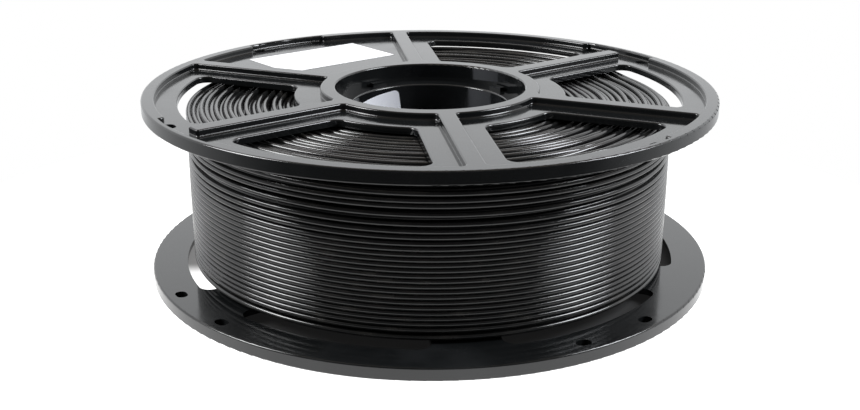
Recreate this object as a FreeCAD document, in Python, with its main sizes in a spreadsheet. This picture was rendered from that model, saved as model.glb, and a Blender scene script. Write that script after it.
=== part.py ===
"""Filament spool: two snapped-on flanges, a ribbed hub, the wound filament and two paper labels.

The spool axis is +Z and the origin is the centre of the lower flange's outer face, where the spool
rests. Sizes are millimetres and degrees. Angles are measured from +X, anticlockwise from above.
"""
import FreeCAD, Part
import math
import os

import Sketcher

doc = FreeCAD.newDocument("filament_spool")

# ---------------------------------------------------------------- driving dimensions

DIMENSIONS = [
    # overall
    ("spool_width", 65.0, "outer face to outer face"),
    ("flange_radius", 100.0, "outside of both flanges"),
    ("rim_height", 4.6, "full thickness of a flange"),
    ("rim_rounding", 0.7, "rounding of the rim's two outer edges"),
    # recessed web, spokes and windows
    ("rim_width", 4.5, "raised rim, radial"),
    ("recess_depth", 2.3, "outer face down to the web"),
    ("recess_corner", 1.8, "upright corners between spokes, rim and hub ring"),
    ("hub_ring_width", 5.3, "raised ring round the bore, radial"),
    ("spoke_count", 6, "raised spokes"),
    ("spoke_width", 6.0, "raised spoke, side to side"),
    ("spoke_angle", 38.0, "first spoke"),
    ("spoke_end_gap", 2.3, "rim to a spoke that faces a notch and stops short"),
    ("window_hub_ledge", 9.2, "web between hub ring and window"),
    ("window_rim_ledge", 7.5, "web between window and rim"),
    ("window_edge_offset", 11.0, "spoke centre line to window side"),
    ("window_corner", 4.0, "upright corners of a window"),
    ("face_rounding", 0.6, "rounding of the raised edges, window edges and cup floor"),
    # notches in the rim and the filament-end holes in them
    ("notch_count", 4, "notches round the rim"),
    ("notch_wall", 2.3, "rim left outside a notch"),
    ("notch_half_angle", 10.0, "half the width of a notch"),
    ("end_hole_inset", 2.5, "bottom of a notch to centre of a filament-end hole"),
    ("end_hole_angle", 8.3, "notch centre to a filament-end hole"),
    ("end_hole_width", 3.8, "filament-end hole, radial"),
    ("end_hole_length", 5.2, "filament-end hole, tangential"),
    # cup that carries the bore
    ("bore_radius", 33.5, "counterbore in the outer face"),
    ("cup_depth", 6.5, "outer face down to the cup floor"),
    ("cup_floor", 2.0, "thickness of the cup floor"),
    ("cup_wall", 2.15, "wall of the cup"),
    ("cup_clearance", 0.15, "cup to drum, radial"),
    # hub core
    ("tube_bore_radius", 27.5, "inside of the spindle tube"),
    ("tube_wall", 2.0, "wall of the spindle tube"),
    ("drum_wall", 2.2, "wall of the drum that carries the filament"),
    ("rib_count", 8, "ribs between tube and drum"),
    ("rib_width", 2.0, "rib, side to side"),
    ("rib_relief", 12.0, "length cut from the ribs below the hooks"),
    ("relief_half_angle", 6.0, "half the width of that cut"),
    # snap hooks
    ("hook_count", 4, "snap hooks at each end"),
    ("hook_width", 6.0, "hook, tangential"),
    ("hook_wall_gap", 0.9, "wall of the cup to the outside of a hook's stem"),
    ("hook_stem_thickness", 1.4, "stem, radial"),
    ("hook_catch", 0.8, "how far the head reaches over the cup floor"),
    ("hook_head", 1.4, "height of the head"),
    ("hook_clearance", 0.1, "stem to slot, inner side"),
    ("hook_side_clearance", 0.3, "stem to slot, each side"),
    ("hook_root", 1.0, "length of the stem inside the rib"),
    # filament
    ("winding_inset", 15.7, "outside of a flange to the outermost turn"),
    ("winding_gap", 0.2, "wound filament to flange, each end"),
    ("winding_rounding", 0.8, "rounding of the winding's two outer edges"),
    # labels
    ("flange_label_length", 50.0, "along the tangent"),
    ("flange_label_width", 28.5, "along the radius"),
    ("flange_label_offset", 2.35, "middle of the web to the label's centre"),
    ("flange_label_skew", 1.5, "turn off square"),
    ("label_thickness", 0.12, "paper with its adhesive"),
    ("bore_label_length", 30.0, "round the tube"),
    ("bore_label_height", 19.0, "along the tube"),
    ("bore_label_angle", 146.0, "middle of the label"),
    ("bore_label_drop", 19.1, "upper outer face down to the label's middle"),
    ("bore_label_corner", 1.6, "rounded corners"),
    ("bore_label_skew", -6.5, "turn off square, clockwise as seen from the axis"),
]

# Cells worked out from the ones above, so that mating pieces follow each other.
DERIVED = [
    ("half_pitch", "=180 / spoke_count"),
    ("blank_angle", "=spoke_angle + 1.5 * 360 / spoke_count"),
    ("recess_radius", "=flange_radius - rim_width"),
    ("notch_radius", "=flange_radius - notch_wall"),
    ("end_hole_radius", "=notch_radius - end_hole_inset"),
    ("spoke_free_end", "=recess_radius - spoke_end_gap"),
    ("hub_ring_radius", "=bore_radius + hub_ring_width"),
    ("window_inner_radius", "=hub_ring_radius + window_hub_ledge"),
    ("window_outer_radius", "=recess_radius - window_rim_ledge"),
    ("cup_outer_radius", "=bore_radius + cup_wall"),
    ("cup_height", "=cup_depth + cup_floor"),
    ("drum_inner_radius", "=cup_outer_radius + cup_clearance"),
    ("drum_radius", "=drum_inner_radius + drum_wall"),
    ("drum_height", "=spool_width - 2 * rim_height"),
    ("tube_outer_radius", "=tube_bore_radius + tube_wall"),
    ("tube_height", "=spool_width - 2 * cup_height"),
    ("rib_half_pitch", "=180 / rib_count"),
    ("rib_half_width", "=rib_width / 2"),
    ("hook_stem_radius", "=bore_radius - hook_wall_gap"),
    ("stem_inner_radius", "=hook_stem_radius - hook_stem_thickness"),
    ("hook_head_radius", "=stem_inner_radius - hook_catch"),
    ("slot_inner_radius", "=stem_inner_radius - hook_clearance"),
    ("slot_width", "=hook_width + 2 * hook_side_clearance"),
    ("stem_length", "=hook_root + rib_relief + cup_floor + hook_head"),
    ("winding_radius", "=flange_radius - winding_inset"),
    ("flange_label_radius", "=(hub_ring_radius + recess_radius) / 2 + flange_label_offset"),
    ("web_level", "=spool_width - recess_depth"),
]

sheet = doc.addObject("Spreadsheet::Sheet", "Sizes")
for row, (alias, content) in enumerate(
    [(name, str(value)) for name, value, _ in DIMENSIONS] + DERIVED, start=1
):
    sheet.set(f"A{row}", alias)
    sheet.set(f"B{row}", content)
    sheet.setAlias(f"B{row}", alias)
for row, (_, _, meaning) in enumerate(DIMENSIONS, start=1):
    sheet.set(f"C{row}", meaning)
doc.recompute()


ALIASES = [name for name, _, _ in DIMENSIONS] + [name for name, _ in DERIVED]


def size(alias):
    """Return the number in the cell that has this alias."""
    return float(sheet.get(alias))


def bind(thing, prop, formula):
    """Drive a property by a formula written with the sheet's aliases."""
    for alias in ALIASES:
        formula = replace_word(formula, alias, f"Sizes.{alias}")
    thing.setExpression(prop, formula)


def replace_word(text, word, new):
    """Replace a whole word, leaving longer words that contain it alone."""
    parts = []
    token = ""
    for sign in text + " ":
        if sign.isalnum() or sign in "_.":
            token += sign
            continue
        parts.append(new if token == word else token)
        parts.append(sign)
        token = ""
    return "".join(parts).rstrip()


# ---------------------------------------------------------------- sketches

ORIGIN_POINT = (-1, 1)


def add_sketch(body, name, level="0", turn="0"):
    """Start a sketch on the body's XY plane, lifted to a level and turned about the axis."""
    sketch = body.newObject("Sketcher::SketchObject", name)
    plane = next(item for item in body.Origin.OriginFeatures if item.Role == "XY_Plane")
    sketch.AttachmentSupport = [(plane, "")]
    sketch.MapMode = "FlatFace"
    bind(sketch, "AttachmentOffset.Base.z", level)
    bind(sketch, "AttachmentOffset.Rotation.Angle", turn)
    return sketch


def constrain(sketch, kind, *where, to=None, guess=None):
    """Add one constraint and, where it has a size, drive it by a formula."""
    if to is None:
        sketch.addConstraint(Sketcher.Constraint(kind, *where))
        return
    index = sketch.addConstraint(Sketcher.Constraint(kind, *where, guess))
    bind(sketch, f"Constraints[{index}]", to)


def circles(body, name, radii, level="0"):
    """Sketch circles about the axis, one for each alias in radii."""
    sketch = add_sketch(body, name, level)
    for alias in radii:
        circle = Part.Circle(FreeCAD.Vector(), FreeCAD.Vector(0, 0, 1), size(alias))
        edge = sketch.addGeometry(circle)
        constrain(sketch, "Coincident", edge, 3, *ORIGIN_POINT)
        constrain(sketch, "Radius", edge, to=alias, guess=size(alias))
    return sketch


def sector(body, name, inner, outer, half_angle, offset=None, level="0", turn="0"):
    """Sketch a ring sector about the turned X axis.

    Its two sides lie at plus and minus half_angle. They pass through the axis, or with an
    offset they run parallel to that radius and nearer to the middle of the sector.
    """
    sketch = add_sketch(body, name, level, turn)
    angle = math.radians(size(half_angle))
    shift = size(offset) if offset else 0.0

    def corner(radius, side):
        along = math.sqrt(radius * radius - shift * shift)
        x = along * math.cos(angle) + shift * math.sin(angle)
        y = along * math.sin(angle) - shift * math.cos(angle)
        return FreeCAD.Vector(x, side * y)

    def arc(radius):
        end = corner(radius, 1)
        turn_to = math.atan2(end.y, end.x)
        circle = Part.Circle(FreeCAD.Vector(), FreeCAD.Vector(0, 0, 1), radius)
        return sketch.addGeometry(Part.ArcOfCircle(circle, -turn_to, turn_to))

    near = arc(size(inner))
    far = arc(size(outer))
    for edge, radius in ((near, inner), (far, outer)):
        constrain(sketch, "Coincident", edge, 3, *ORIGIN_POINT)
        constrain(sketch, "Radius", edge, to=radius, guess=size(radius))
    for side, end in ((1, 2), (-1, 1)):
        line = sketch.addGeometry(
            Part.LineSegment(corner(size(inner), side), corner(size(outer), side))
        )
        constrain(sketch, "Coincident", line, 1, near, end)
        constrain(sketch, "Coincident", line, 2, far, end)
        sign = "" if side > 0 else "-"
        constrain(sketch, "Angle", line, to=f"{sign}{half_angle}", guess=side * angle)
        if offset:
            constrain(sketch, "Distance", *ORIGIN_POINT, line, to=offset, guess=shift)
        else:
            constrain(sketch, "PointOnObject", *ORIGIN_POINT, line)
    return sketch


def bar(body, name, start, end, width, level="0", turn="0"):
    """Sketch a rectangle along the turned X axis, from one radius to another."""
    sketch = add_sketch(body, name, level, turn)
    x0, x1 = size(start), size(end)
    half = size(width) / 2
    points = [
        FreeCAD.Vector(x0, -half),
        FreeCAD.Vector(x1, -half),
        FreeCAD.Vector(x1, half),
        FreeCAD.Vector(x0, half),
    ]
    lines = [
        sketch.addGeometry(Part.LineSegment(points[i], points[(i + 1) % 4])) for i in range(4)
    ]
    for i in range(4):
        constrain(sketch, "Coincident", lines[i], 2, lines[(i + 1) % 4], 1)
        constrain(sketch, "Horizontal" if i % 2 == 0 else "Vertical", lines[i])
    constrain(sketch, "DistanceX", *ORIGIN_POINT, lines[0], 1, to=start, guess=x0)
    constrain(sketch, "DistanceX", *ORIGIN_POINT, lines[0], 2, to=end, guess=x1)
    constrain(sketch, "DistanceY", lines[0], 2, lines[2], 1, to=width, guess=2 * half)
    constrain(sketch, "DistanceY", lines[0], 2, *ORIGIN_POINT, to=f"{width} / 2", guess=half)
    return sketch


def oblong(body, name, radius, width, length, turn):
    """Sketch a round-ended hole across the turned X axis, centred at a radius."""
    sketch = add_sketch(body, name, "0", turn)
    x = size(radius)
    r = size(width) / 2
    reach = (size(length) - size(width)) / 2
    up = FreeCAD.Vector(0, 0, 1)
    top = sketch.addGeometry(
        Part.ArcOfCircle(Part.Circle(FreeCAD.Vector(x, reach), up, r), 0, math.pi)
    )
    low = sketch.addGeometry(
        Part.ArcOfCircle(Part.Circle(FreeCAD.Vector(x, -reach), up, r), math.pi, 2 * math.pi)
    )
    left = sketch.addGeometry(
        Part.LineSegment(FreeCAD.Vector(x - r, reach), FreeCAD.Vector(x - r, -reach))
    )
    right = sketch.addGeometry(
        Part.LineSegment(FreeCAD.Vector(x + r, -reach), FreeCAD.Vector(x + r, reach))
    )
    constrain(sketch, "Tangent", top, 2, left, 1)
    constrain(sketch, "Tangent", left, 2, low, 1)
    constrain(sketch, "Tangent", low, 2, right, 1)
    constrain(sketch, "Tangent", right, 2, top, 1)
    constrain(sketch, "Vertical", left)
    constrain(sketch, "Radius", top, to=f"{width} / 2", guess=r)
    constrain(sketch, "DistanceX", *ORIGIN_POINT, top, 3, to=radius, guess=x)
    reach_formula = f"({length} - {width}) / 2"
    constrain(sketch, "DistanceY", *ORIGIN_POINT, top, 3, to=reach_formula, guess=reach)
    constrain(sketch, "DistanceY", low, 3, *ORIGIN_POINT, to=reach_formula, guess=reach)
    return sketch


# ---------------------------------------------------------------- features

def pad(body, name, sketch, length, down=False):
    """Add the sketch's area, upwards or downwards from its plane."""
    feature = body.newObject("PartDesign::Pad", name)
    feature.Profile = sketch
    feature.Reversed = down
    bind(feature, "Length", length)
    return advance(body, feature, grows=True)


def pocket(body, name, sketch, depth, up=False):
    """Cut the sketch's area away, downwards or upwards from its plane."""
    feature = body.newObject("PartDesign::Pocket", name)
    feature.Profile = sketch
    feature.Reversed = up
    bind(feature, "Length", depth)
    return advance(body, feature, grows=False)


def repeat(body, name, feature, count, sweep="360"):
    """Repeat a feature round the body's axis and make the pattern the body's tip."""
    grows = feature.TypeId == "PartDesign::Pad"
    pattern = body.newObject("PartDesign::PolarPattern", name)
    pattern.Originals = [feature]
    axis = next(item for item in body.Origin.OriginFeatures if item.Role == "Z_Axis")
    pattern.Axis = (axis, [""])
    bind(pattern, "Angle", sweep)
    bind(pattern, "Occurrences", count)
    return advance(body, pattern, grows)


def advance(body, feature, grows):
    """Make a feature the tip, and refuse one that changed nothing."""
    before = volumes.get(body.Name, 0.0)
    body.Tip = feature
    doc.recompute()
    after = body.Shape.Volume
    if (after > before) != grows or abs(after - before) < 1e-3:
        raise RuntimeError(f"{feature.Name} left the volume at {after:.2f} mm3")
    volumes[body.Name] = after
    return feature


def round_edges(body, name, radius, chosen):
    """Fillet the tip's edges that the chosen test accepts."""
    base = body.Tip
    names = [
        f"Edge{i}" for i, edge in enumerate(base.Shape.Edges, start=1) if chosen(edge)
    ]
    feature = body.newObject("PartDesign::Fillet", name)
    feature.Base = (base, names)
    bind(feature, "Radius", radius)
    body.Tip = feature
    doc.recompute()
    volumes[body.Name] = body.Shape.Volume
    return feature


def new_body(name):
    """Start a body whose label names the piece."""
    body = doc.addObject("PartDesign::Body", name)
    body.Label = name
    return body


volumes = {}
NEAR = 1e-4


def is_upright(edge):
    """Say whether an edge is a straight line along the axis."""
    return (
        edge.Curve.TypeId == "Part::GeomLine"
        and abs(edge.tangentAt(edge.FirstParameter).z) > 1 - NEAR
    )


def axis_distance(edge):
    """Return the distance from the axis to the edge's first point."""
    point = edge.Vertexes[0].Point
    return math.hypot(point.x, point.y)


def lies_at(edge, level):
    """Say whether the whole edge is at one height."""
    box = edge.BoundBox
    return abs(box.ZMin - level) < NEAR and abs(box.ZMax - level) < NEAR


# ---------------------------------------------------------------- the flange moulding

def make_flange(name):
    """Build one flange with its outer face at z = 0 and the rest below it."""
    body = new_body(name)
    pad(body, f"{name}_disc", circles(body, f"{name}_outline", ["flange_radius"]), "rim_height",
        down=True)
    pocket(body, f"{name}_recess",
           circles(body, f"{name}_recess_rings", ["recess_radius", "hub_ring_radius"]),
           "recess_depth")

    # The rim is thinner at the notches, which make room for the filament-end holes.
    notch = pocket(body, f"{name}_notch",
                   sector(body, f"{name}_notch_shape", "window_outer_radius", "notch_radius",
                          "notch_half_angle", turn="spoke_angle"),
                   "recess_depth")
    repeat(body, f"{name}_notches", notch, "notch_count")

    # Two opposite spokes face a notch and stop short of the rim. The others run into it.
    free = pad(body, f"{name}_free_spoke",
               bar(body, f"{name}_free_spoke_shape", "bore_radius", "spoke_free_end",
                   "spoke_width", turn="spoke_angle"),
               "recess_depth", down=True)
    repeat(body, f"{name}_free_spokes", free, "2")
    for step in (1, 2):
        turn = f"spoke_angle + {step} * 360 / spoke_count"
        spoke = pad(body, f"{name}_spoke_{step}",
                    bar(body, f"{name}_spoke_{step}_shape", "bore_radius", "notch_radius",
                        "spoke_width", turn=turn),
                    "recess_depth", down=True)
        repeat(body, f"{name}_spokes_{step}", spoke, "2")

    # Five of the six sectors have a window. The sixth stays closed to carry a label.
    window = pocket(body, f"{name}_window",
                    sector(body, f"{name}_window_shape", "window_inner_radius",
                           "window_outer_radius", "half_pitch", "window_edge_offset",
                           turn="blank_angle + 360 / spoke_count"),
                    "rim_height")
    repeat(body, f"{name}_windows", window, "spoke_count - 1",
           "(spoke_count - 2) * 360 / spoke_count")

    for side, sign in (("left", "+"), ("right", "-")):
        hole = pocket(body, f"{name}_end_hole_{side}",
                      oblong(body, f"{name}_end_hole_{side}_shape", "end_hole_radius",
                             "end_hole_width", "end_hole_length",
                             f"spoke_angle {sign} end_hole_angle"),
                      "rim_height")
        repeat(body, f"{name}_end_holes_{side}", hole, "notch_count")

    # The cup reaches down inside the drum and holds the hub core's hooks.
    pocket(body, f"{name}_bore", circles(body, f"{name}_bore_circle", ["bore_radius"]),
           "rim_height")
    pad(body, f"{name}_cup_wall",
        circles(body, f"{name}_cup_wall_rings", ["bore_radius", "cup_outer_radius"],
                "-rim_height"),
        "cup_height - rim_height", down=True)
    pad(body, f"{name}_cup_floor",
        circles(body, f"{name}_cup_floor_rings", ["tube_bore_radius", "cup_outer_radius"],
                "-cup_depth"),
        "cup_floor", down=True)
    slot = pocket(body, f"{name}_hook_slot",
                  bar(body, f"{name}_hook_slot_shape", "slot_inner_radius", "bore_radius",
                      "slot_width", "-cup_depth", "blank_angle"),
                  "cup_floor")
    repeat(body, f"{name}_hook_slots", slot, "hook_count")

    # Upright corners first, then the long edges that run through them.
    inner = size("window_inner_radius")
    outer = size("window_outer_radius")
    hub = size("hub_ring_radius")
    free_end = math.hypot(size("spoke_free_end"), size("spoke_width") / 2)
    rim = size("recess_radius")
    floor = -size("recess_depth")

    def window_corner(edge):
        at = axis_distance(edge)
        return is_upright(edge) and min(abs(at - inner), abs(at - outer)) < NEAR

    def recess_corner(edge):
        at = axis_distance(edge)
        return (
            is_upright(edge)
            and abs(edge.BoundBox.ZMin - floor) < NEAR
            and min(abs(at - hub), abs(at - rim)) < NEAR
        )

    def free_corner(edge):
        return is_upright(edge) and abs(axis_distance(edge) - free_end) < NEAR

    round_edges(body, f"{name}_window_corners", "window_corner", window_corner)
    round_edges(body, f"{name}_recess_corners", "recess_corner", recess_corner)
    round_edges(body, f"{name}_free_corners", "recess_corner / 2", free_corner)

    height = -size("rim_height")
    full = size("flange_radius")

    def rim_edge(edge):
        return (lies_at(edge, 0) or lies_at(edge, height)) and abs(
            axis_distance(edge) - full) < NEAR

    def face_edge(edge):
        return lies_at(edge, 0) and axis_distance(edge) < full - 2 * size("rim_rounding")

    def window_edge(edge):
        reach = [math.hypot(vertex.X, vertex.Y) for vertex in edge.Vertexes]
        return lies_at(edge, floor) and min(reach) > inner - NEAR and max(reach) < outer + NEAR

    def cup_floor_edge(edge):
        bore = size("tube_bore_radius")
        return lies_at(edge, -size("cup_depth")) and abs(axis_distance(edge) - bore) < NEAR

    round_edges(body, f"{name}_rim_rounding", "rim_rounding", rim_edge)
    round_edges(body, f"{name}_face_rounding", "face_rounding",
                lambda edge: face_edge(edge) or window_edge(edge) or cup_floor_edge(edge))
    return body


# ---------------------------------------------------------------- the hub core

def make_hooks(body, end, turn):
    """Grow one end's snap hooks from the ends of the shortened ribs."""
    top = end == "upper"
    if top:
        tube_end = "spool_width - cup_height"
        root = f"{tube_end} - rib_relief - hook_root"
        floor = "spool_width - cup_depth"
    else:
        tube_end = "cup_height"
        root = f"{tube_end} + rib_relief + hook_root"
        floor = "cup_depth"
    relief = pocket(body, f"{end}_relief",
                    sector(body, f"{end}_relief_shape", "tube_outer_radius",
                           "drum_inner_radius", "relief_half_angle", level=tube_end, turn=turn),
                    "rib_relief", up=not top)
    repeat(body, f"{end}_reliefs", relief, "hook_count")
    stem = pad(body, f"{end}_stem",
               bar(body, f"{end}_stem_shape", "stem_inner_radius", "hook_stem_radius",
                   "hook_width", root, turn),
               "stem_length", down=not top)
    repeat(body, f"{end}_stems", stem, "hook_count")
    head = pad(body, f"{end}_head",
               bar(body, f"{end}_head_shape", "hook_head_radius", "hook_stem_radius",
                   "hook_width", floor, turn),
               "hook_head", down=not top)
    repeat(body, f"{end}_heads", head, "hook_count")


def make_hub_core():
    """Build the drum, the spindle tube, the ribs between them and the snap hooks."""
    body = new_body("hub_core")
    pad(body, "core_block",
        circles(body, "core_rings", ["tube_bore_radius", "drum_radius"], "cup_height"),
        "tube_height")
    cell = pocket(body, "core_cell",
                  sector(body, "core_cell_shape", "tube_outer_radius", "drum_inner_radius",
                         "rib_half_pitch", "rib_half_width", "spool_width - cup_height",
                         "blank_angle + rib_half_pitch"),
                  "tube_height")
    repeat(body, "core_cells", cell, "rib_count")
    drum_rings = ["drum_inner_radius", "drum_radius"]
    pad(body, "drum_top", circles(body, "drum_top_rings", drum_rings, "spool_width - cup_height"),
        "cup_height - rim_height")
    pad(body, "drum_bottom", circles(body, "drum_bottom_rings", drum_rings, "cup_height"),
        "cup_height - rim_height", down=True)
    make_hooks(body, "upper", "blank_angle")
    make_hooks(body, "lower", "blank_angle")
    return body


# ---------------------------------------------------------------- filament and labels

def make_winding():
    """Build the ring that the wound filament fills, from the drum to its outermost turn."""
    body = new_body("filament_winding")
    level = "rim_height + winding_gap"
    pad(body, "winding_ring",
        circles(body, "winding_rings", ["drum_radius", "winding_radius"], level),
        "drum_height - 2 * winding_gap")
    outside = size("winding_radius")
    round_edges(body, "winding_rounding_edges", "winding_rounding",
                lambda edge: not is_upright(edge) and abs(axis_distance(edge) - outside) < NEAR)
    return body


def make_flange_label():
    """Lay a rectangular paper label on the closed sector of the upper web."""
    label = doc.addObject("Part::Box", "flange_label")
    label.Label = "flange_label"
    bind(label, "Length", "flange_label_length")
    bind(label, "Width", "flange_label_width")
    bind(label, "Height", "label_thickness")
    turn = size("blank_angle") - 90 + size("flange_label_skew")
    spin = FreeCAD.Rotation(FreeCAD.Vector(0, 0, 1), turn)
    outwards = math.radians(size("blank_angle"))
    centre = FreeCAD.Vector(math.cos(outwards), math.sin(outwards)) * size("flange_label_radius")
    corner = FreeCAD.Vector(size("flange_label_length") / 2, size("flange_label_width") / 2)
    base = centre - spin.multVec(corner)
    base.z = size("web_level")
    label.Placement = FreeCAD.Placement(base, spin)
    return label


def make_bore_label():
    """Stick a label with rounded corners to the wall of the spindle tube."""
    length = size("bore_label_length")
    height = size("bore_label_height")
    block = doc.addObject("Part::Box", "bore_label_block")
    bind(block, "Length", "bore_label_length")
    bind(block, "Width", "tube_outer_radius")
    bind(block, "Height", "bore_label_height")
    rounded = doc.addObject("Part::Fillet", "bore_label_outline")
    rounded.Base = block
    doc.recompute()
    along = [
        i for i, edge in enumerate(block.Shape.Edges, start=1)
        if abs(edge.tangentAt(edge.FirstParameter).y) > 1 - NEAR
    ]
    radius = size("bore_label_corner")
    rounded.Edges = [(i, radius, radius) for i in along]

    # The block points outwards from the axis, turned a little out of square.
    square = FreeCAD.Placement(FreeCAD.Vector(-length / 2, 0, -height / 2), FreeCAD.Rotation())
    skew = FreeCAD.Rotation(FreeCAD.Vector(0, 1, 0), size("bore_label_skew"))
    aim = FreeCAD.Rotation(FreeCAD.Vector(0, 0, 1), size("bore_label_angle") - 90)
    middle = FreeCAD.Vector(0, 0, size("spool_width") - size("bore_label_drop"))
    rounded.Placement = FreeCAD.Placement(middle, aim * skew) * square

    cylinders = []
    for suffix, formula in (("outside", "tube_bore_radius"),
                            ("inside", "tube_bore_radius - label_thickness")):
        cylinder = doc.addObject("Part::Cylinder", f"bore_label_{suffix}")
        bind(cylinder, "Radius", formula)
        bind(cylinder, "Height", "spool_width")
        cylinders.append(cylinder)
    shell = doc.addObject("Part::Cut", "bore_label_shell")
    shell.Base = cylinders[0]
    shell.Tool = cylinders[1]
    label = doc.addObject("Part::Common", "bore_label")
    label.Label = "bore_label"
    label.Base = shell
    label.Tool = rounded
    return label


# ---------------------------------------------------------------- assembly

upper_flange = make_flange("upper_flange")
bind(upper_flange, "Placement.Base.z", "spool_width")

# The lower flange is the same moulding turned over about the closed sector's middle line.
lower_flange = make_flange("lower_flange")
fold = math.radians(size("blank_angle"))
lower_flange.Placement = FreeCAD.Placement(
    FreeCAD.Vector(), FreeCAD.Rotation(FreeCAD.Vector(math.cos(fold), math.sin(fold), 0), 180)
)

pieces = [
    upper_flange,
    lower_flange,
    make_hub_core(),
    make_winding(),
    make_flange_label(),
    make_bore_label(),
]
doc.recompute()

for item in doc.Objects:
    faults = [state for state in item.State if state in ("Invalid", "Error")]
    if faults:
        raise RuntimeError(f"{item.Name} is {faults}")
for piece in pieces:
    if piece.Shape.isNull() or not piece.Shape.isValid():
        raise RuntimeError(f"{piece.Label} has no valid shape")

os.makedirs("parts", exist_ok=True)
for piece in pieces:
    piece.Shape.exportStep(f"parts/{piece.Label}.step")
    box = piece.Shape.BoundBox
    print(
        f"{piece.Label}: {len(piece.Shape.Solids)} solid, {piece.Shape.Volume / 1000:.2f} cm3, "
        f"z {box.ZMin:.2f} to {box.ZMax:.2f}"
    )
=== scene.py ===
"""Looks of a full filament spool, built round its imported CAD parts.

The two flanges, the hub core and the labels keep their CAD meshes and get their finishes here. The
wound filament is new: every turn that can be seen is a strand of its own, laid by a small settling
solver, round a scalloped core that fills the space beneath. Lengths are metres, angles radians.
"""
from __future__ import annotations

import logging
import math
from dataclasses import dataclass, field
from enum import Enum
from typing import Union

import bpy
import numpy as np
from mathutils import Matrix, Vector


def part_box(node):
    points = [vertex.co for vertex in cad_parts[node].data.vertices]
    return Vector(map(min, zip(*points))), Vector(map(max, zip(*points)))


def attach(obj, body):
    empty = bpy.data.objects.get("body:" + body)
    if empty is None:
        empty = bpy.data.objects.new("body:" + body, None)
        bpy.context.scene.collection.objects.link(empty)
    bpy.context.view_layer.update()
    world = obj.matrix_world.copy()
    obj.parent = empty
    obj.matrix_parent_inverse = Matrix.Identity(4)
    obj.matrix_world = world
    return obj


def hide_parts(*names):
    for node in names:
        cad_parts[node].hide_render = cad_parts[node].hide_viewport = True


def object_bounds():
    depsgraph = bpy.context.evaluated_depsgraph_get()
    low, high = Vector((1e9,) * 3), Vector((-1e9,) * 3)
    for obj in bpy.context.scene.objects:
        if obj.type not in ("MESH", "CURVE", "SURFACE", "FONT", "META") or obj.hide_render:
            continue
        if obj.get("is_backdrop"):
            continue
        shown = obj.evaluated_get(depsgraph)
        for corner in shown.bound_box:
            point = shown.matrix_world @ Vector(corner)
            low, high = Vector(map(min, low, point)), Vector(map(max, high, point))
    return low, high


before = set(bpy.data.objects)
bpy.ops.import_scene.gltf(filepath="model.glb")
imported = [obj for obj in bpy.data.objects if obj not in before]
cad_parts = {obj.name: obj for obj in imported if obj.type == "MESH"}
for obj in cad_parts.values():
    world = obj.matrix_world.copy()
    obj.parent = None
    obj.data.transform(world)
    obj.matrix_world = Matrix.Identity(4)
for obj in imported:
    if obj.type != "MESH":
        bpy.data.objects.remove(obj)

log = logging.getLogger("spool")

TURN = 2.0 * math.pi
MM = 0.001
ROOT = "root"

Colour = tuple[float, float, float]
Band = tuple[float, float]
Value = Union["Wire", float]


class Node(Enum):
    """CAD nodes of the spool."""

    UPPER_FLANGE = "upper_flange"
    LOWER_FLANGE = "lower_flange"
    HUB = "hub_core"
    WINDING = "filament_winding"
    FLANGE_LABEL = "flange_label"
    BORE_LABEL = "bore_label"


class Slot(Enum):
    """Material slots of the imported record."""

    FILAMENT = "filament"


class Side(Enum):
    """The end of the spool that a set of face turns lies against."""

    UPPER = 1
    LOWER = -1


# ---------------------------------------------------------------- shader maths


class Wire:
    """An output socket with arithmetic: each operator adds one Math node to its tree."""

    def __init__(self, tree: "Tree", socket: bpy.types.NodeSocket | None) -> None:
        """Wrap a socket of a node in a tree, or None for a node that has no output."""
        self.tree = tree
        self.socket = socket

    def math(self, operation: str, *values: Value) -> "Wire":
        """Add a Math node.

        Args:
            operation: the node's operation.
            values: its sockets, this wire among them, in order.

        Returns:
            The node's output.
        """
        return self.tree.node("ShaderNodeMath", dict(enumerate(values)), operation=operation)

    def __add__(self, other: Value) -> "Wire":
        """Sum."""
        return self.math("ADD", self, other)

    __radd__ = __add__

    def __mul__(self, other: Value) -> "Wire":
        """Product."""
        return self.math("MULTIPLY", self, other)

    __rmul__ = __mul__

    def __sub__(self, other: Value) -> "Wire":
        """Difference."""
        return self.math("SUBTRACT", self, other)

    def __rsub__(self, other: Value) -> "Wire":
        """Difference from a number."""
        return self.math("SUBTRACT", other, self)

    def __truediv__(self, other: Value) -> "Wire":
        """Quotient."""
        return self.math("DIVIDE", self, other)

    def __pow__(self, other: Value) -> "Wire":
        """Power."""
        return self.math("POWER", self, other)

    def absolute(self) -> "Wire":
        """Size without sign."""
        return self.math("ABSOLUTE", self)

    def step(self, low: float, high: float) -> "Wire":
        """Rise smoothly from 0 at low to 1 at high, or fall where low is above high."""
        return self.tree.node(
            "ShaderNodeMapRange",
            {"Value": self, "From Min": low, "From Max": high},
            interpolation_type="SMOOTHSTEP",
        )

    def at_least(self, other: Value) -> "Wire":
        """The larger of two values."""
        return self.math("MAXIMUM", self, other)

    def at_most(self, other: Value) -> "Wire":
        """The smaller of two values."""
        return self.math("MINIMUM", self, other)


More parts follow.
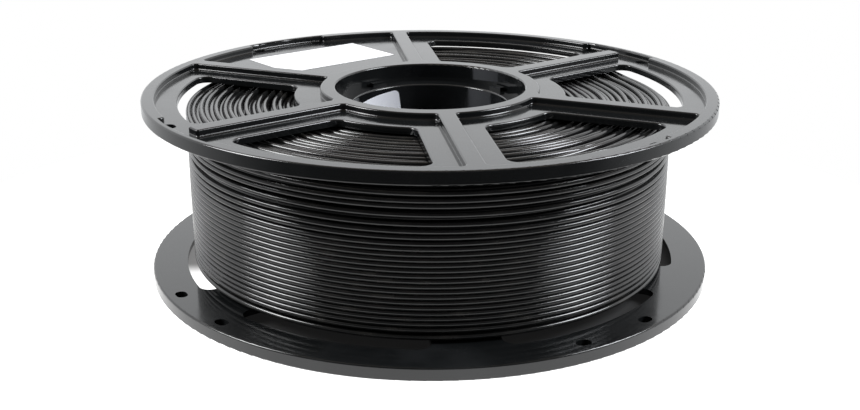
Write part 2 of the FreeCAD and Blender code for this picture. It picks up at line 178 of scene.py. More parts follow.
class Tree:
    """A node tree that is filled by one method."""

    def __init__(self, nodes: bpy.types.NodeTree) -> None:
        """Empty the tree."""
        self.nodes = nodes
        nodes.nodes.clear()

    def node(
        self,
        kind: str,
        inputs: dict[Union[str, int], object] | None = None,
        output: Union[str, int] = 0,
        **settings: object,
    ) -> Wire:
        """Add a node.

        Args:
            kind: the node's type.
            inputs: a value or a wire for each socket that is set, by name or place.
            output: the output that is wanted, by name or place.
            settings: the node's own settings, set before its sockets.

        Returns:
            The chosen output.
        """
        made = self.nodes.nodes.new(kind)
        for name, value in settings.items():
            setattr(made, name, value)
        for key, value in (inputs or {}).items():
            if isinstance(value, Wire):
                self.nodes.links.new(value.socket, made.inputs[key])
            else:
                made.inputs[key].default_value = value
        return Wire(self, made.outputs[output] if made.outputs else None)

    def object_place(self) -> Wire:
        """Object coordinates, which are the spool's own."""
        return self.node("ShaderNodeTexCoord", output="Object")

    def parts(self, vector: Wire) -> tuple[Wire, Wire, Wire]:
        """Split a vector into its three numbers."""
        split = self.node("ShaderNodeSeparateXYZ", {0: vector})
        outputs = split.socket.node.outputs
        return tuple(Wire(self, outputs[i]) for i in range(3))

    def vector(self, x: Value, y: Value, z: Value) -> Wire:
        """Join three numbers into a vector."""
        return self.node("ShaderNodeCombineXYZ", {0: x, 1: y, 2: z})

    def add_vectors(self, first: Wire, second: Wire) -> Wire:
        """Sum of two vectors."""
        return self.node("ShaderNodeVectorMath", {0: first, 1: second}, operation="ADD")

    def choose(self, share: Value, low: Wire, high: Wire) -> Wire:
        """Unit vector between two vectors by a share."""
        mixed = self.node("ShaderNodeMix", {0: share, 4: low, 5: high}, 1, data_type="VECTOR")
        return self.node("ShaderNodeVectorMath", {0: mixed}, operation="NORMALIZE")

    def noise(self, place: Wire, scale: float, detail: float = 2.0, rough: float = 0.5) -> Wire:
        """Cloudy noise between 0 and 1, scale in features per metre."""
        return self.node(
            "ShaderNodeTexNoise",
            {"Vector": place, "Scale": scale, "Detail": detail, "Roughness": rough},
        )

    def stretch(self, place: Wire, scale: Colour, turn: Colour = (0.0, 0.0, 0.0)) -> Wire:
        """Turn a place, then scale each axis."""
        return self.node(
            "ShaderNodeMapping", {"Vector": place, "Rotation": turn, "Scale": scale},
            vector_type="POINT",
        )

    def blend(self, share: Value, low: object, high: object) -> Wire:
        """Mix two colours by a share."""
        return self.node(
            "ShaderNodeMix", {0: share, 6: low, 7: high}, output=2, data_type="RGBA",
        )

    def bump(
        self, height: Wire, strength: float, depth: float, normal: Wire | None = None
    ) -> Wire:
        """Turn a height between 0 and 1 into a normal.

        Args:
            height: the height.
            strength: share of the depth that is used.
            depth: metres between heights 0 and 1.
            normal: the surface's own normal, or None for the mesh's.

        Returns:
            The bumped normal.
        """
        inputs = {"Height": height, "Strength": strength, "Distance": depth}
        if normal is not None:
            inputs["Normal"] = normal
        return self.node("ShaderNodeBump", inputs)


def opaque(colour: Colour) -> tuple[float, float, float, float]:
    """Add full alpha to a colour."""
    return (*colour, 1.0)


def new_material(name: str) -> tuple[bpy.types.Material, Tree]:
    """Make an empty node material."""
    material = bpy.data.materials.new(name)
    material.use_nodes = True
    return material, Tree(material.node_tree)


def close(tree: Tree, inputs: dict[str, object]) -> None:
    """End a material's tree in a Principled shader with these sockets."""
    surface = tree.node("ShaderNodeBsdfPrincipled", inputs)
    tree.node("ShaderNodeOutputMaterial", {"Surface": surface})


# ---------------------------------------------------------------- finishes


@dataclass(frozen=True)
class MouldedPlastic:
    """Glossy moulded polystyrene: orange peel, sink ripple, hairline scratches and smudges."""

    name: str
    colour: Colour = (0.0062, 0.0068, 0.0072)
    worn: Colour = (0.016, 0.017, 0.018)
    roughness: float = 0.085
    smudge: float = 0.10
    ior: float = 1.54
    scratches: float = 0.16
    scratch_turns: Colour = (0.4, 1.5, 2.6)
    scratch_stretch: Colour = (1.0, 26.0, 26.0)
    scratch_scale: float = 34.0
    scratch_width: float = 0.004
    scratch_depth: float = 0.10
    patch_scale: float = 46.0
    patch_band: Band = (0.52, 0.68)
    cloud_scale: float = 38.0
    cloud_band: Band = (0.42, 0.72)
    speck_scale: float = 1500.0
    speck_band: Band = (0.80, 0.84)
    peel_scale: float = 420.0
    peel_height: float = 0.22
    ripple_scale: float = 60.0
    ripple_height: float = 0.78
    cloud_wear: float = 0.5
    scratch_wear: float = 0.5
    speck_wear: float = 0.6
    bump_strength: float = 0.55
    bump_depth: float = 0.05 * MM

    def scratch_mask(self, tree: Tree, place: Wire) -> Wire:
        """Hairlines: the narrow crests of noise stretched far along three directions."""
        total: Wire | None = None
        for turn in self.scratch_turns:
            drawn = tree.stretch(place, self.scratch_stretch, (0.0, 0.0, turn))
            crest = (tree.noise(drawn, self.scratch_scale, 1.0) - 0.5).absolute()
            line = crest.step(self.scratch_width, 0.0)
            total = line if total is None else total.at_least(line)
        patch = tree.noise(place, self.patch_scale, 1.0).step(*self.patch_band)
        return total * patch

    def normal(self, tree: Tree, place: Wire) -> Wire | None:
        """The surface's own normal: None leaves it to the mesh."""
        return None

    def material(self) -> bpy.types.Material:
        """Build the material."""
        material, tree = new_material(self.name)
        place = tree.object_place()
        scratch = self.scratch_mask(tree, place)
        cloud = tree.noise(place, self.cloud_scale, 3.0, 0.6).step(*self.cloud_band)
        speck = tree.noise(place, self.speck_scale, 0.0).step(*self.speck_band)
        peel = tree.noise(place, self.peel_scale, 2.0, 0.4)
        ripple = tree.noise(place, self.ripple_scale, 1.0)
        height = peel * self.peel_height + ripple * self.ripple_height
        height = height - scratch * self.scratch_depth
        dull = cloud * self.smudge + scratch * self.scratches + self.roughness
        wear = cloud * self.cloud_wear + scratch * self.scratch_wear + speck * self.speck_wear
        tint = tree.blend(wear.at_most(1.0), opaque(self.colour), opaque(self.worn))
        close(tree, {
            "Base Color": tint,
            "Roughness": dull,
            "IOR": self.ior,
            "Normal": tree.bump(
                height, self.bump_strength, self.bump_depth, self.normal(tree, place)
            ),
        })
        return material


@dataclass(frozen=True)
class FlangePlastic(MouldedPlastic):
    """The same plastic with a flange's exact rim rounding and a soft foot along its walls.

    The rim's gloss shows every facet of a mesh, so its normal is worked out here from the
    rounding's own centre line. Both flanges are level with each other about the middle.
    """

    radius: float = 0.100
    middle: float = 0.0325
    rim_height: float = 4.6 * MM
    rounding: float = 0.7 * MM
    recess: float = 2.3 * MM
    hub_side: float = 36.0 * MM
    rim_side: float = 98.2 * MM
    foot: float = 0.7 * MM
    foot_lift: float = 1.2
    steep: Band = (0.5, 0.3)
    floor_margin: float = 0.05 * MM
    rim_fade: float = 0.2 * MM
    hub_fade: float = 1.0 * MM
    seam: float = 0.02 * MM

    def normal(self, tree: Tree, place: Wire) -> Wire:
        """Blend the rim's rounding and the foot of the walls into the mesh's normal."""
        x, y, z = tree.parts(place)
        radius = (x * x + y * y) ** 0.5
        level = z - self.middle
        side = level.math("SIGN", level)
        height = level.absolute()
        above = (height - (self.middle - self.rounding)).at_least(0.0)
        below = (self.middle - self.rim_height + self.rounding - height).at_least(0.0)
        centre_line = self.radius - self.rounding
        out = (radius - centre_line) / radius
        rim = tree.vector(x * out, y * out, side * (above - below))

        mesh = tree.node("ShaderNodeNewGeometry", output="Normal")
        _, _, tilt = tree.parts(mesh)
        rise = height - (self.middle - self.recess)
        wall = tilt.absolute().step(*self.steep) * rise.step(0.0, self.floor_margin)
        wall = wall * radius.step(self.rim_side, self.rim_side - self.rim_fade)
        wall = wall * radius.step(self.hub_side - self.hub_fade, self.hub_side)
        lift = side * wall * rise.step(self.foot, 0.0) * self.foot_lift
        face = tree.add_vectors(mesh, tree.vector(0.0, 0.0, lift))
        return tree.choose(radius.step(centre_line - self.seam, centre_line), face, rim)


@dataclass(frozen=True)
class DrawnFilament:
    """Extruded strand: glossy skin with fine lines drawn along it and slow changes of gloss."""

    name: str
    colour: Colour = (0.0075, 0.0078, 0.0080)
    bloom: Colour = (0.021, 0.020, 0.0185)
    roughness: float = 0.13
    ior: float = 1.52
    least_roughness: float = 0.08
    line_stretch: Colour = (1.0, 1.0, 0.02)
    line_scale: float = 2600.0
    line_dullness: float = 0.06
    line_height: float = 0.7
    wave_scale: float = 90.0
    wave_dullness: float = 0.12
    bloom_band: Band = (0.45, 0.75)
    grain_scale: float = 2400.0
    grain_height: float = 0.3
    bump_strength: float = 0.12
    bump_depth: float = 0.012 * MM

    def material(self) -> bpy.types.Material:
        """Build the material from the strand's own attribute: across in x and y, along in z."""
        material, tree = new_material(self.name)
        along = tree.node("ShaderNodeAttribute", output="Vector", attribute_name=STRAND_PLACE)
        drawn = tree.stretch(along, self.line_stretch)
        lines = tree.noise(drawn, self.line_scale, 2.0, 0.6)
        waves = tree.noise(along, self.wave_scale, 2.0)
        grain = tree.noise(along, self.grain_scale, 1.0)
        dull = (waves - 0.5) * self.wave_dullness + (lines - 0.5) * self.line_dullness
        dull = dull + self.roughness
        tint = tree.blend(
            waves.step(*self.bloom_band), opaque(self.colour), opaque(self.bloom)
        )
        height = lines * self.line_height + grain * self.grain_height
        close(tree, {
            "Base Color": tint,
            "Roughness": dull.at_least(self.least_roughness),
            "IOR": self.ior,
            "Normal": tree.bump(height, self.bump_strength, self.bump_depth),
        })
        return material


@dataclass(frozen=True)
class LabelPaper:
    """Coated white paper: faint fibre and, on a printed label, rows of pale dashes."""

    name: str
    colour: Colour = (0.86, 0.86, 0.87)
    fibre: Colour = (0.80, 0.80, 0.82)
    ink: Colour = (0.70, 0.66, 0.66)
    roughness: float = 0.42
    rows: int = 0
    centre: Colour = (0.0, 0.0, 0.0)
    turn: float = 0.0
    length: float = 0.05
    width: float = 0.0285
    bar_band: Band = (0.20, 0.12)
    dash_stretch: Colour = (1.0, 3.0, 1.0)
    dash_scale: float = 520.0
    dash_band: Band = (0.42, 0.50)
    side_margin: Band = (0.42, 0.415)
    end_margin: Band = (0.38, 0.375)
    ink_strength: float = 0.35
    fibre_scale: float = 900.0
    fibre_band: Band = (0.3, 0.8)
    fibre_dullness: float = 0.15
    bump_strength: float = 0.25
    bump_depth: float = 0.02 * MM

    def print_mask(self, tree: Tree, place: Wire) -> Wire:
        """Rows of pale dashes inside a margin, as on a blank form."""
        shifted = tree.node(
            "ShaderNodeVectorMath", {0: place, 1: self.centre}, operation="SUBTRACT"
        )
        across, up, _ = tree.parts(tree.stretch(shifted, (1.0, 1.0, 1.0), (0, 0, -self.turn)))
        pitch = self.width / (self.rows + 2)
        row = (up / pitch).math("FRACT", up / pitch + 0.5)
        bar = (row - 0.5).absolute().step(*self.bar_band)
        drawn = tree.stretch(shifted, self.dash_stretch, (0, 0, -self.turn))
        dashes = tree.noise(drawn, self.dash_scale, 0.0)
        inside = across.absolute().step(*(self.length * share for share in self.side_margin))
        inside = inside * up.absolute().step(*(self.width * share for share in self.end_margin))
        return bar * inside * dashes.step(*self.dash_band)

    def material(self) -> bpy.types.Material:
        """Build the material."""
        material, tree = new_material(self.name)
        place = tree.object_place()
        fibre = tree.noise(place, self.fibre_scale, 3.0, 0.7)
        tint = tree.blend(fibre.step(*self.fibre_band), opaque(self.colour), opaque(self.fibre))
        if self.rows:
            mask = self.print_mask(tree, place)
            tint = tree.blend(mask * self.ink_strength, tint, opaque(self.ink))
        close(tree, {
            "Base Color": tint,
            "Roughness": (fibre - 0.5) * self.fibre_dullness + self.roughness,
            "Normal": tree.bump(fibre, self.bump_strength, self.bump_depth),
        })
        return material


# ---------------------------------------------------------------- laying the strand

STRAND_PLACE = "strand_place"
PUSH_SHARE = 0.38
LEAST_DISTANCE = 1e-9
STRAND_SPACING = 7.0


def smooth(share: np.ndarray, low: float, high: float) -> np.ndarray:
    """Rise from 0 at low to 1 at high as 3t^2 - 2t^3."""
    t = np.clip((share - low) / (high - low), 0.0, 1.0)
    return t * t * (3.0 - 2.0 * t)


def wander(count: int, steps: int, rates: tuple[float, float], seed: int) -> np.ndarray:
    """Smooth random wander along strands, about 1 high.

    A sum of eight sines of the strand's own angle, with random rates and phases.

    Args:
        count: strands.
        steps: points along each strand.
        rates: lowest and highest number of waves from one end of a strand to the other.
        seed: seed of the random draws.

    Returns:
        An array of count rows and steps columns.
    """
    draw = np.random.default_rng(seed)
    waves = 8
    rate = draw.uniform(rates[0], rates[1], (count, waves, 1))
    phase = draw.uniform(0.0, TURN, (count, waves, 1))
    size = draw.uniform(0.4, 1.0, (count, waves, 1))
    along = np.linspace(0.0, 1.0, steps)[None, None, :]
    return (size * np.sin(TURN * rate * along + phase)).sum(1) / math.sqrt(waves)


@dataclass
class Walls:
    """The space that the turns lie in: radius and height of its four sides."""

    inner: float
    outer: float
    low: float
    high: float


@dataclass
class Strands:
    """Strands of whole turns, as radius and height at equal steps of angle.

    Both arrays have a row for each strand and a column for each point along it, and every
    strand makes the same number of turns.
    """

    radius: np.ndarray
    height: np.ndarray
    turns: int
    first_angle: np.ndarray

    @property
    def steps(self) -> int:
        """Points in one turn."""
        return self.radius.shape[1] // self.turns

    def settle(self, thickness: float, walls: Walls, rounds: int, grip: float) -> None:
        """Push overlapping turns apart and keep each strand smooth.

        At each step of angle the turns are discs in the plane of the axis. In every round two
        discs nearer than a thickness move apart along the line between their centres, each
        strand is averaged with its neighbours along its length, and it is drawn back a little
        towards where it was laid.

        Args:
            thickness: strand diameter.
            walls: the space that the turns keep to.
            rounds: how many rounds are made.
            grip: share of the way back to the laid place in each round.
        """
        strands, points = self.radius.shape
        steps = self.steps
        laid = np.stack((self.radius, self.height))
        place = laid.copy()
        half = thickness / 2.0
        for _ in range(rounds):
            discs = place.reshape(2, strands * self.turns, steps)
            apart = discs[:, :, None, :] - discs[:, None, :, :]
            distance = np.sqrt((apart ** 2).sum(0)) + LEAST_DISTANCE
            excess = np.clip(thickness - distance, 0.0, None) / distance
            same = np.arange(discs.shape[1])
            excess[same, same, :] = 0.0
            push = (apart * excess).sum(2) * PUSH_SHARE
            place = (discs + push).reshape(2, strands, points)
            ends = np.pad(place, ((0, 0), (0, 0), (1, 1)), mode="edge")
            place = 0.5 * place + 0.25 * (ends[:, :, :-2] + ends[:, :, 2:])
            place += (laid - place) * grip
            place[0] = np.clip(place[0], walls.inner + half, walls.outer - half)
            place[1] = np.clip(place[1], walls.low + half, walls.high - half)
        self.radius, self.height = place

    def mesh(self, name: str, thickness: float, sides: int) -> bpy.types.Object:
        """Sweep a circle along every strand and close its ends.

        The centre line is (r cos a, r sin a, z). Each ring stands across the line's own
        direction, with one axis level with the radius. Points also carry their place on the
        strand: across it in x and y, and along it in z.

        Args:
            name: the piece's name.
            thickness: strand diameter.
            sides: points in a ring.

        Returns:
            The new piece, all strands together.
        """
        strands, points = self.radius.shape
        angle = self.first_angle[:, None] + TURN * np.arange(points) / self.steps
        radial = np.stack((np.cos(angle), np.sin(angle), np.zeros_like(angle)), -1)
        line = radial * self.radius[..., None]
        line[..., 2] = self.height
        run = np.gradient(line, axis=1)
        length = np.linalg.norm(run, axis=-1)
        ahead = run / length[..., None]
        up = np.cross(radial, ahead)
        up /= np.linalg.norm(up, axis=-1)[..., None]
        out = np.cross(ahead, up)
        turn = TURN * np.arange(sides) / sides
        half = thickness / 2.0
        across = half * np.stack((np.cos(turn), np.sin(turn)), -1)
        ring = (
            line[:, :, None, :]
            + across[None, None, :, :1] * out[:, :, None, :]
            + across[None, None, :, 1:] * up[:, :, None, :]
        )
        along = np.cumsum(length, axis=1)
        own = np.empty_like(ring)
        own[..., :2] = across
        own[..., 2] = along[:, :, None] + STRAND_SPACING * np.arange(strands)[:, None, None]

        index = np.arange(strands * points * sides).reshape(strands, points, sides)
        beside = np.roll(index, -1, axis=2)
        quads = np.stack(
            (index[:, :-1], beside[:, :-1], beside[:, 1:], index[:, 1:]), -1
        ).reshape(-1, 4)
        faces = quads.tolist() + index[:, 0, ::-1].tolist() + index[:, -1].tolist()
        piece = new_piece(name, ring.reshape(-1, 3), faces)
        place = piece.data.attributes.new(STRAND_PLACE, "FLOAT_VECTOR", "POINT")
        place.data.foreach_set("vector", own.astype(np.float32).ravel())
        return piece


def new_piece(name: str, points: np.ndarray, faces: list[list[int]]) -> bpy.types.Object:
    """Put points and faces into a smooth mesh object at the origin.

    Args:
        name: the piece's name.
        points: corners, one row each.
        faces: corner numbers of each face, anticlockwise seen from outside.

    Returns:
        The object, linked to the scene.
    """
    mesh = bpy.data.meshes.new(name)
    mesh.from_pydata(points.tolist(), [], faces)
    mesh.shade_smooth()
    piece = bpy.data.objects.new(name, mesh)
    bpy.context.scene.collection.objects.link(piece)
    return piece


# ---------------------------------------------------------------- the wound filament


@dataclass
class WoundFilament:
    """The filament on the drum, between the flanges.

    Pitches are strand widths, and strays are millimetres.
    """

    strand: float = 1.75 * MM
    rise: float = 1.54 * MM
    steps: int = 176
    outer_turns: int = 27
    inner_turns: int = 31
    face_visits: int = 14
    face_turns: int = 4
    slack: float = 1.2 * MM
    lean: float = 0.85 * MM
    sag: float = 4.8 * MM
    sag_depth: float = 11.0 * MM
    sag_angle: float = math.radians(65.0)
    core_margin: float = 3.3 * MM
    core_scallop: float = 0.34 * MM
    core_around: int = 120
    first_angle: float = math.radians(100.0)
    top_pitch: float = 0.46
    top_band: Band = (0.22, 0.40)
    foot_pitch: float = 0.12
    foot_band: Band = (0.62, 0.85)
    back_band: Band = (-0.3, 0.2)
    left_band: Band = (0.5, 1.0)
    arc_band: Band = (0.75, 0.96)
    top_stray: float = 0.42
    top_stray_band: Band = (0.15, 0.45)
    foot_stray: float = 0.48
    foot_stray_band: Band = (0.74, 0.95)
    least_stray: float = 0.05
    beneath_stray: float = 0.12
    face_radius_stray: float = 0.62
    face_depth_stray: float = 0.55
    face_step: Band = (-0.06, 0.06)
    face_offset: float = 0.25
    layer_rounds: int = 70
    layer_grip: float = 0.02
    face_rounds: int = 60
    face_grip: float = 0.03
    outer_sides: int = 12
    beneath_sides: int = 8
    face_sides: int = 10
    finish: DrawnFilament = field(default_factory=lambda: DrawnFilament("strand_finish"))

    def __post_init__(self) -> None:
        """Read the space between drum and flanges from the CAD ring that the strand fills."""
        low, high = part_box(Node.WINDING.value)
        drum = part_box(Node.HUB.value)[1].x
        self.walls = Walls(drum, high.x, low.z, high.z)
        self.strand_material = self.finish.material()

    def outer_heights(self) -> np.ndarray:
        """Height along the outermost layer, from the top down.

        The pitch is loose over the upper third, a strand's width at the middle and a little
        more near the foot. Its running sum is scaled to the space there is.
        """
        share = np.linspace(0.0, 1.0, self.outer_turns * self.steps)
        pitch = 1.0 + self.top_pitch * (1.0 - smooth(share, *self.top_band))
        pitch = pitch + self.foot_pitch * smooth(share, *self.foot_band)
        drop = np.cumsum(pitch)
        drop = (drop - drop[0]) / (drop[-1] - drop[0])
        half = self.strand / 2.0
        return self.walls.high - half - drop * (self.walls.high - self.walls.low - self.strand)

    def bulge(self, angle: np.ndarray, height: np.ndarray) -> np.ndarray:
        """How far the outermost turns stand out of round.

        They stand out a little round the whole back and at -X, and the few turns nearest to
        the upper flange hang loose over one arc.

        Args:
            angle: angle of each point about the axis.
            height: height of each point.

        Returns:
            The distance to add to each point's radius.
        """
        back = self.slack * smooth(np.sin(angle), *self.back_band)
        left = self.lean * smooth(-np.cos(angle), *self.left_band)
        loose = smooth(height, self.walls.high - self.sag_depth, self.walls.high - self.strand)
        arc = smooth(np.cos(angle - self.sag_angle), *self.arc_band)
        return back + left + self.sag * loose * arc

    def layers(self) -> tuple[Strands, Strands]:
        """Lay the layer beneath upwards and the outermost layer back down over it.

        Returns:
            The outermost layer and the one beneath.
        """
        half = self.strand / 2.0
        outer = self.outer_heights()
        below = np.linspace(
            self.walls.low + half, self.walls.high - half, self.inner_turns * self.steps
        )
        height = np.concatenate((below, outer))
        top = self.walls.outer - half
        radius = np.full_like(height, top)
        radius[: below.size] = top - self.rise
        share = np.linspace(0.0, 1.0, outer.size)
        loose = self.top_stray * (1.0 - smooth(share, *self.top_stray_band))
        loose = loose + self.foot_stray * smooth(share, *self.foot_stray_band) + self.least_stray
        stray = wander(1, outer.size, (3.0, 40.0), 11)[0]
        height[below.size:] += stray * loose * MM
        stray = wander(1, below.size, (3.0, 50.0), 12)[0]
        height[: below.size] += stray * self.beneath_stray * MM
        turns = self.outer_turns + self.inner_turns
        both = Strands(radius[None], height[None], turns, np.array([self.first_angle]))
        both.settle(self.strand, self.walls, self.layer_rounds, self.layer_grip)
        angle = both.first_angle[:, None] + TURN * np.arange(radius.size) / self.steps
        both.radius += self.bulge(angle, both.height)
        cut = below.size
        inner = Strands(both.radius[:, : cut + 1], both.height[:, : cut + 1],
                        self.inner_turns, both.first_angle)
        outermost = Strands(both.radius[:, cut:], both.height[:, cut:],
                            self.outer_turns, both.first_angle)
        return outermost, inner

    def face_strands(self, side: Side) -> Strands:
        """Lay the turns that show against one flange.

        A layer climbs to the flange, steps up by one rise and winds back, so each strand here
        is two turns towards the flange on one layer and two turns away on the next.

        Args:
            side: the flange.

        Returns:
            One strand for each layer that comes to this flange.
        """
        points = self.face_turns * self.steps
        seed = 31 if side is Side.UPPER else 47
        draw = np.random.default_rng(seed)
        nearest = draw.uniform(-self.face_offset, self.face_offset, (self.face_visits, 1))
        share = np.linspace(-1.0, 1.0, points)[None, :] - nearest
        layer = 2.0 * np.arange(self.face_visits)[:, None] + (0.0 if side is Side.UPPER else 1.0)
        half = self.strand / 2.0
        radius = self.walls.inner + half + self.rise * (layer + smooth(share, *self.face_step))
        depth = np.abs(share) * self.strand * (self.face_turns / 2.0)
        stray = wander(self.face_visits, points, (1.0, 14.0), seed + 1)
        radius = radius + self.face_radius_stray * MM * stray
        stray = wander(self.face_visits, points, (1.0, 12.0), seed + 2)
        depth = depth + self.face_depth_stray * MM * np.abs(stray)
        if side is Side.UPPER:
            height = self.walls.high - half - depth
        else:
            height = self.walls.low + half + depth
        laid = Strands(radius, height, self.face_turns, np.zeros(self.face_visits))
        space = Walls(self.walls.inner, self.walls.outer - 2.0 * self.rise,
                      self.walls.low, self.walls.high)
        laid.settle(self.strand, space, self.face_rounds, self.face_grip)
        angle = TURN * np.arange(points) / self.steps
        share = (laid.radius - self.walls.inner) / (self.walls.outer - self.walls.inner)
        laid.radius += self.bulge(angle[None, :], laid.height) * share ** 2
        return laid

    def core(self) -> bpy.types.Object:
        """Turn the scalloped core: the buried turns as one closed ring.

        Its outline is a rectangle in radius and height whose three open sides carry
        |sin| scallops a strand wide, and each point of it is turned about the axis.
        """
        inner = self.walls.inner
        outer = self.walls.outer - self.strand - self.rise
        low = self.walls.low + self.core_margin
        high = self.walls.high - self.core_margin
        corners = [(inner, low), (outer, low), (outer, high), (inner, high)]
        outward = [(0.0, -1.0), (1.0, 0.0), (0.0, 1.0)]
        outline = []
        for (start, stop), (away_r, away_z) in zip(zip(corners, corners[1:]), outward):
            span = math.dist(start, stop)
            bumps = round(span / self.strand)
            share = np.linspace(0.0, 1.0, bumps * 4 + 1)[:-1]
            swell = self.core_scallop * np.abs(np.sin(math.pi * bumps * share))
            r = start[0] + (stop[0] - start[0]) * share + away_r * swell
            z = start[1] + (stop[1] - start[1]) * share + away_z * swell
            outline.append(np.stack((r, z), -1))
        outline.append(np.array([corners[3]]))
        profile = np.concatenate(outline)
        around = self.core_around
        angle = TURN * np.arange(around) / around
        ring = np.empty((around, len(profile), 3))
        ring[..., 0] = np.cos(angle)[:, None] * profile[:, 0]
        ring[..., 1] = np.sin(angle)[:, None] * profile[:, 0]
        ring[..., 2] = profile[:, 1]
        index = np.arange(around * len(profile)).reshape(around, len(profile))
        ahead = np.roll(index, -1, axis=0)
        higher = np.roll(index, -1, axis=1)
        faces = np.stack((index, ahead, np.roll(ahead, -1, axis=1), higher), -1).reshape(-1, 4)
        piece = new_piece("filament_core", ring.reshape(-1, 3), faces.tolist())
        own = np.empty_like(ring)
        own[..., 0] = profile[:, 0]
        own[..., 1] = profile[:, 1]
        own[..., 2] = angle[:, None] * outer
        place = piece.data.attributes.new(STRAND_PLACE, "FLOAT_VECTOR", "POINT")
        place.data.foreach_set("vector", own.astype(np.float32).ravel())
        return piece

    def dress(self, piece: bpy.types.Object) -> None:
        """Give a piece the strand's finish and tie it to the spool."""
        piece.data.materials.append(self.strand_material)
        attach(piece, ROOT)
        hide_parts(Node.WINDING.value)
        log.info("%s: %d faces", piece.name, len(piece.data.polygons))

    def build(self) -> None:
        """Build every piece of the winding."""
        outermost, beneath = self.layers()
        self.dress(outermost.mesh("filament_outer_layer", self.strand, self.outer_sides))
        self.dress(beneath.mesh("filament_layer_beneath", self.strand, self.beneath_sides))
        faces = ((Side.UPPER, "filament_upper_face"), (Side.LOWER, "filament_lower_face"))
        for side, name in faces:
            self.dress(self.face_strands(side).mesh(name, self.strand, self.face_sides))
        self.dress(self.core())


# ---------------------------------------------------------------- moulded and printed parts


@dataclass
class Mouldings:
    """The flanges and the hub core: CAD meshes with glossy black plastic."""

    finishes: dict[Node, MouldedPlastic] = field(default_factory=lambda: {
        Node.UPPER_FLANGE: FlangePlastic("flange_finish"),
        Node.LOWER_FLANGE: FlangePlastic("flange_finish"),
        Node.HUB: MouldedPlastic("hub_finish", roughness=0.12, smudge=0.08),
    })

    def build(self) -> None:
        """Assign each part its finish."""
        made: dict[str, bpy.types.Material] = {}
        for node, finish in self.finishes.items():
            if finish.name not in made:
                made[finish.name] = finish.material()
            give(node, made[finish.name])


@dataclass
class Labels:
    """The two paper labels: CAD meshes with coated paper."""

    flange_turn: float = math.radians(39.5)

    def build(self) -> None:
        """Assign each label its finish."""
        low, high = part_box(Node.FLANGE_LABEL.value)
        centre = tuple((low + high) / 2.0)
        printed = LabelPaper("label_finish", rows=7, centre=centre, turn=self.flange_turn)
        plain = LabelPaper("sticker_finish", colour=(0.84, 0.85, 0.90), fibre=(0.79, 0.80, 0.86))
        give(Node.FLANGE_LABEL, printed.material())
        give(Node.BORE_LABEL, plain.material())


def give(node: Node, material: bpy.types.Material) -> None:
    """Put a material in every slot of a CAD node's object."""
    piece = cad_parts[node.value]
    if not piece.data.materials:
        piece.data.materials.append(None)
    for place in piece.material_slots:
        place.link = "OBJECT"
        place.material = material
    log.info("%s: %s", node.value, material.name)


# ---------------------------------------------------------------- studio


@dataclass
class Softbox:
    """A rectangular light aimed at the spool from a compass direction and a height angle."""

    name: str
    azimuth: float
    elevation: float
    distance: float
    width: float
    height: float
    radiance: float
    colour: Colour = (1.0, 1.0, 1.0)

    def build(self, target: np.ndarray) -> None:
        """Place the light; azimuth 0 stands in front, and it turns anticlockwise from above."""
        a, e = math.radians(self.azimuth), math.radians(self.elevation)
        away = np.array((math.sin(a) * math.cos(e), -math.cos(a) * math.cos(e), math.sin(e)))
        data = bpy.data.lights.new(self.name, "AREA")
        data.shape = "RECTANGLE"
        data.size = self.width
        data.size_y = self.height
        data.color = self.colour
        data.energy = self.radiance * math.pi * self.width * self.height
        lamp = bpy.data.objects.new(self.name, data)
        lamp.location = target + away * self.distance
        lamp.rotation_euler = (math.pi / 2.0 - e, 0.0, a)
        bpy.context.scene.collection.objects.link(lamp)


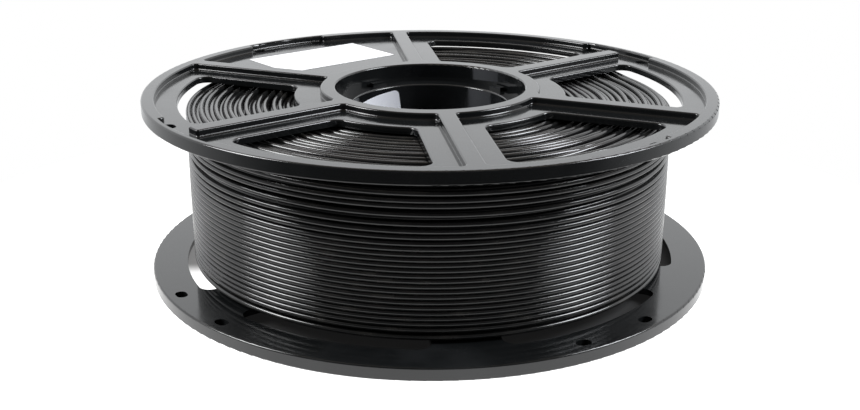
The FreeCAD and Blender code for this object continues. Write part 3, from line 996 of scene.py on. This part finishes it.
@dataclass
class Studio:
    """White table, bright surroundings behind, a dark front, two softboxes and the camera."""

    table_radius: float = 0.205
    table_glow: float = 0.42
    # Painted light: the table's glow rises in a ring near the spool's edge.
    near_glow: float = 0.9
    # Painted shadow beneath the spool: a faint glow there, and the colour darkened by shade_tone.
    shade_glow: float = 0.008
    table_sides: int = 128
    table_drop: float = 0.02 * MM
    table_tone: float = 0.25
    tone_swing: float = 0.02
    shade_tone: float = 0.1
    # Painted lit patch beneath the lower flange at -X, bright in front and dimmer behind.
    patch_x: Band = (-0.045, -0.060)
    patch_y: Band = (-0.045, -0.036)
    patch_bright: Band = (-0.008, -0.022)
    patch_least: float = 0.15
    spool_edge: Band = (0.0980, 0.0992)
    near_band: Band = (0.150, 0.101)
    back_band: Band = (-0.62, 0.35)
    overhead_band: Band = (0.45, 0.95)
    below_band: Band = (-0.02, -0.12)
    front_light: float = 0.10
    back_light: float = 1.22
    overhead_shade: float = 0.55
    below_shade: float = 0.35
    side_tint: Colour = (0.97, 0.985, 1.0)
    overhead_tint: Colour = (1.0, 0.90, 0.80)
    focal_length: float = 50.24
    sensor: float = 36.0
    camera_place: Colour = (0.0, -0.4147, 0.1661)
    camera_pitch: float = 0.339
    camera_roll: float = 0.003
    camera_shift: float = 0.00035
    softboxes: tuple[Softbox, ...] = (
        Softbox("softbox_left", -84.0, 38.0, 1.1, 0.40, 0.50, 17.0, (0.98, 0.99, 1.0)),
        Softbox("softbox_right", 83.5, 38.0, 1.1, 0.44, 0.50, 18.0, (0.93, 0.96, 1.0)),
    )

    def camera(self) -> None:
        """Make the camera and look through it."""
        data = bpy.data.cameras.new("camera")
        data.lens = self.focal_length
        data.sensor_width = self.sensor
        data.shift_x = self.camera_shift
        data.clip_start = 0.01
        camera = bpy.data.objects.new("camera", data)
        camera.location = self.camera_place
        camera.rotation_mode = "ZYX"
        camera.rotation_euler = (math.pi / 2.0 - self.camera_pitch, 0.0, self.camera_roll)
        bpy.context.scene.collection.objects.link(camera)
        bpy.context.scene.camera = camera

    def table(self) -> None:
        """Lay a pale round table under the spool, just below its resting face.

        It glows outside the spool's edge, in a painted brighter ring near it. Beneath the spool it
        has a painted shadow in colour and glow, apart from a painted lit patch and a dimmer one
        behind it, at -X. Where it glows it is whiter to the camera than in reflections.
        """
        around = self.table_sides
        angle = TURN * np.arange(around) / around
        rim = np.stack((np.cos(angle), np.sin(angle), np.zeros(around)), -1) * self.table_radius
        rim[:, 2] = -self.table_drop
        table = new_piece("table", rim, [list(range(around))])
        material, tree = new_material("table_finish")
        place = tree.object_place()
        tone = tree.noise(place, 30.0, 2.0).step(0.2, 0.8) * self.tone_swing + self.table_tone
        x, y, _ = tree.parts(place)
        radius = (x * x + y * y) ** 0.5
        # Painted lit patch: light through a window of the lower flange, painted onto the table at
        # -X.
        patch = x.step(*self.patch_x) * y.step(*self.patch_y)
        patch = patch * (y.step(*self.patch_bright) * (1.0 - self.patch_least) + self.patch_least)
        # Painted lit area: outside the spool's edge, plus the painted lit patch; the rest is
        # painted shadow.
        painted_lit_area = radius.step(*self.spool_edge).at_least(patch)
        seen = tree.node("ShaderNodeLightPath", output="Is Camera Ray")
        # Painted light in reflections: a brighter glow ring near the spool's edge; the camera sees
        # at least plain white.
        reflected = radius.step(*self.near_band) * self.near_glow + self.table_glow
        # Painted shadow in the glow: only a faint glow is left beneath the spool.
        glow = painted_lit_area * reflected.at_least(seen) + self.shade_glow
        # Painted shadow in the colour: the table darkens beneath the spool, outside the lit patch.
        tone = tone * (painted_lit_area * (1.0 - self.shade_tone) + self.shade_tone)
        close(tree, {
            "Base Color": tree.node("ShaderNodeCombineColor", {0: tone, 1: tone, 2: tone}),
            "Roughness": 0.7,
            "Emission Color": tree.node("ShaderNodeCombineColor", {0: glow, 1: glow, 2: glow}),
            "Emission Strength": 1.0,
        })
        table.data.materials.append(material)
        table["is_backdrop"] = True

    def surroundings(self) -> None:
        """Light the spool from all round: bright behind and beside, dim in front.

        The light that falls on it rises from front to back with the direction's y, and is
        lower overhead and below. What the camera sees directly is plain white.
        """
        world = bpy.data.worlds.new("surroundings")
        bpy.context.scene.world = world
        world.use_nodes = True
        tree = Tree(world.node_tree)
        _, y, z = tree.parts(tree.node("ShaderNodeTexCoord", output="Generated"))
        back = y.step(*self.back_band)
        overhead = z.step(*self.overhead_band)
        glow = back * self.back_light + self.front_light
        glow = glow * (1.0 - overhead * self.overhead_shade)
        below = z.step(*self.below_band)
        glow = glow * (1.0 - below * self.below_shade)
        seen = tree.node("ShaderNodeLightPath", output="Is Camera Ray")
        tint = tree.blend(overhead, opaque(self.side_tint), opaque(self.overhead_tint))
        light = tree.node("ShaderNodeBackground", {"Color": tint, "Strength": glow})
        plain = tree.node("ShaderNodeBackground", {"Color": (1.0, 1.0, 1.0, 1.0), "Strength": 1.0})
        shown = tree.node("ShaderNodeMixShader", {0: seen, 1: light, 2: plain})
        tree.node("ShaderNodeOutputWorld", {"Surface": shown})

    def build(self) -> None:
        """Set up the studio."""
        scene = bpy.context.scene
        scene.view_settings.view_transform = "Standard"
        low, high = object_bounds()
        centre = np.array((low + high) / 2.0)
        self.surroundings()
        self.table()
        for softbox in self.softboxes:
            softbox.build(centre)
        self.camera()


def main() -> None:
    """Build the spool's looks in order."""
    logging.basicConfig(level=logging.INFO, format="%(name)s: %(message)s")
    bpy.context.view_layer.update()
    Mouldings().build()
    WoundFilament().build()
    Labels().build()
    Studio().build()


if __name__ == "__main__":
    main()
